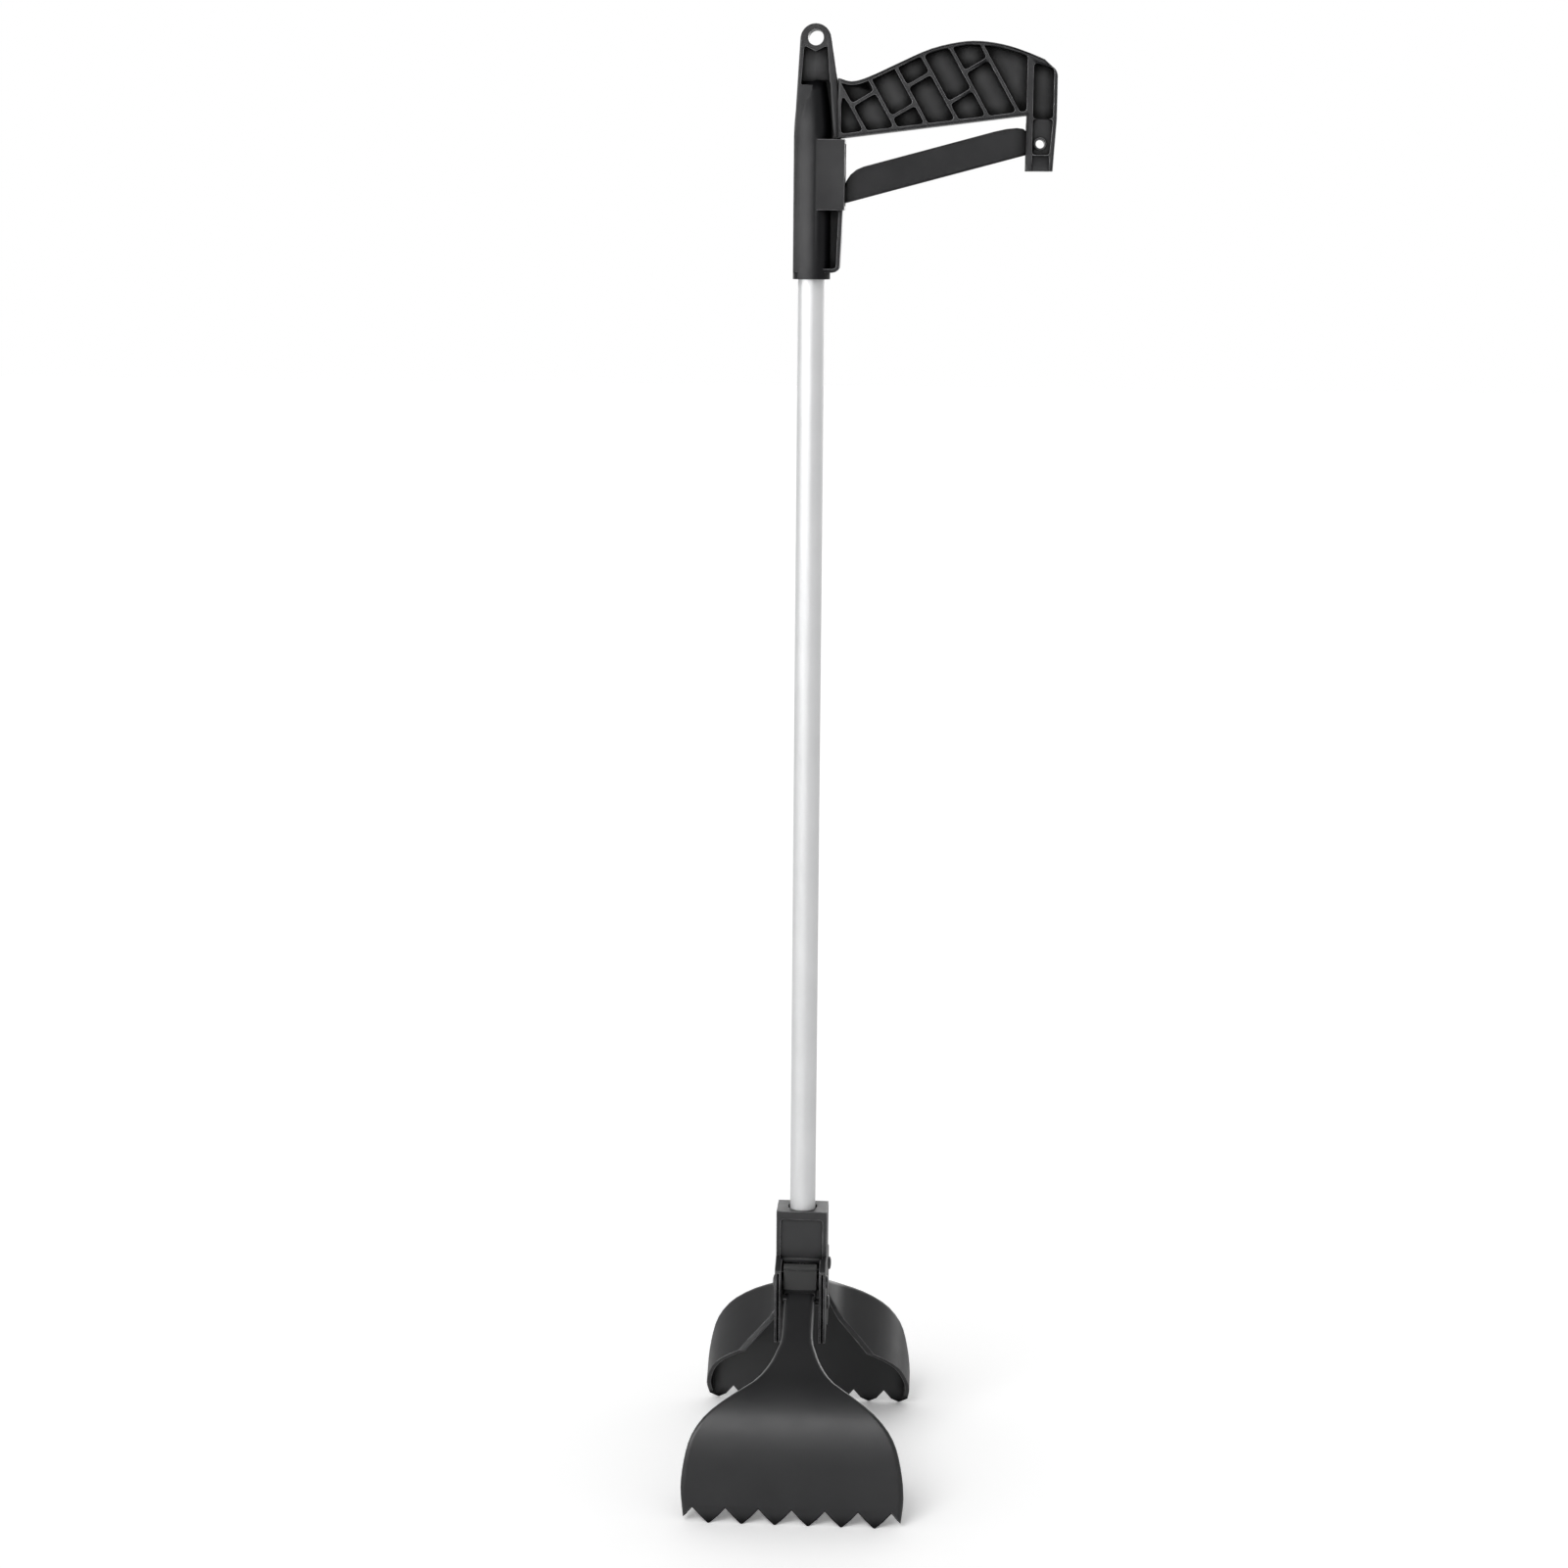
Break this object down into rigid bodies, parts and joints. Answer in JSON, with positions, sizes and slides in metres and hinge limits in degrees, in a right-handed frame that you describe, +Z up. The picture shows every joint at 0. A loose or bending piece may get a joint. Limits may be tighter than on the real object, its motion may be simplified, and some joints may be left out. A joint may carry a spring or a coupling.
{
  "type": "pooper scooper",
  "caption": "Long-handled scooper for pet waste: squeezing the trigger under the grip closes a pair of toothed scoop jaws at the foot of a metal tube.",
  "frame": {"origin": "on the floor, under the middle of the object's outline, with the open jaws standing on their tooth tips", "axes": "+Z up along the tube; +X towards the free end of the grip; the front jaw opens towards -Y"},
  "size_m": [0.2122, 0.1998, 0.901],
  "materials": {
    "black_plastic": "moulded black plastic, fine satin grain",
    "jaw_plastic": "moulded black plastic, satin, with fine scuffs",
    "satin_aluminium": "satin anodised, fine drawn lines along the tube",
    "steel": "zinc-plated steel, satin",
    "white_nylon": "natural nylon, matte"
  },
  "bodies": {
    "frame": {"handle_frame": "black_plastic", "trigger_pivot_rivet": "black_plastic", "main_tube": "satin_aluminium", "hub_housing": "black_plastic", "upper_rod_bush": "white_nylon", "lower_rod_bush": "white_nylon", "handle_screw": "steel", "hub_screw": "steel", "front_jaw_pin": "steel", "front_jaw_pin_cap": "steel", "rear_jaw_pin": "steel", "rear_jaw_pin_cap": "steel", "return_spring": "steel"},
    "trigger": {"trigger": "black_plastic"},
    "rod": {"pull_rod": "steel", "rod_clevis": "steel", "clevis_pin": "steel", "upper_lock_nut": "steel", "lower_lock_nut": "steel", "spring_washer": "steel", "spring_clip": "steel", "crosshead": "white_nylon", "crosshead_pin": "steel", "crosshead_pin_cap": "steel"},
    "front_jaw": {"front_jaw": "jaw_plastic"},
    "rear_jaw": {"rear_jaw": "jaw_plastic"}
  },
  "joints": [
    {"name": "trigger_squeeze", "type": "hinge", "parent": "frame", "child": "trigger", "pos_m": [0.0966, 0, 0.83273], "axis": [0, 1, 0], "range_deg": [0, 7.2], "stiffness_Nm_per_rad": 6, "springref_deg": -8.59},
    {"name": "rod_slide", "type": "slide", "parent": "frame", "child": "rod", "axis": [0, 0, 1], "range_m": [0, 0.01687], "deforming": ["return_spring"]},
    {"name": "front_jaw_hinge", "type": "hinge", "parent": "frame", "child": "front_jaw", "pos_m": [-0.0376, -0.0175, 0.12783], "axis": [1, 0, 0], "range_deg": [0, 38.8]},
    {"name": "rear_jaw_hinge", "type": "hinge", "parent": "frame", "child": "rear_jaw", "pos_m": [-0.0376, 0.0175, 0.12783], "axis": [-1, 0, 0], "range_deg": [0, 38.8]}
  ],
  "couplings": [
    {"joint": "rod_slide", "follows": "trigger_squeeze", "m_per_rad": 0.1342},
    {"joint": "front_jaw_hinge", "follows": "trigger_squeeze", "ratio": 5.3888},
    {"joint": "rear_jaw_hinge", "follows": "trigger_squeeze", "ratio": 5.3888}
  ]
}
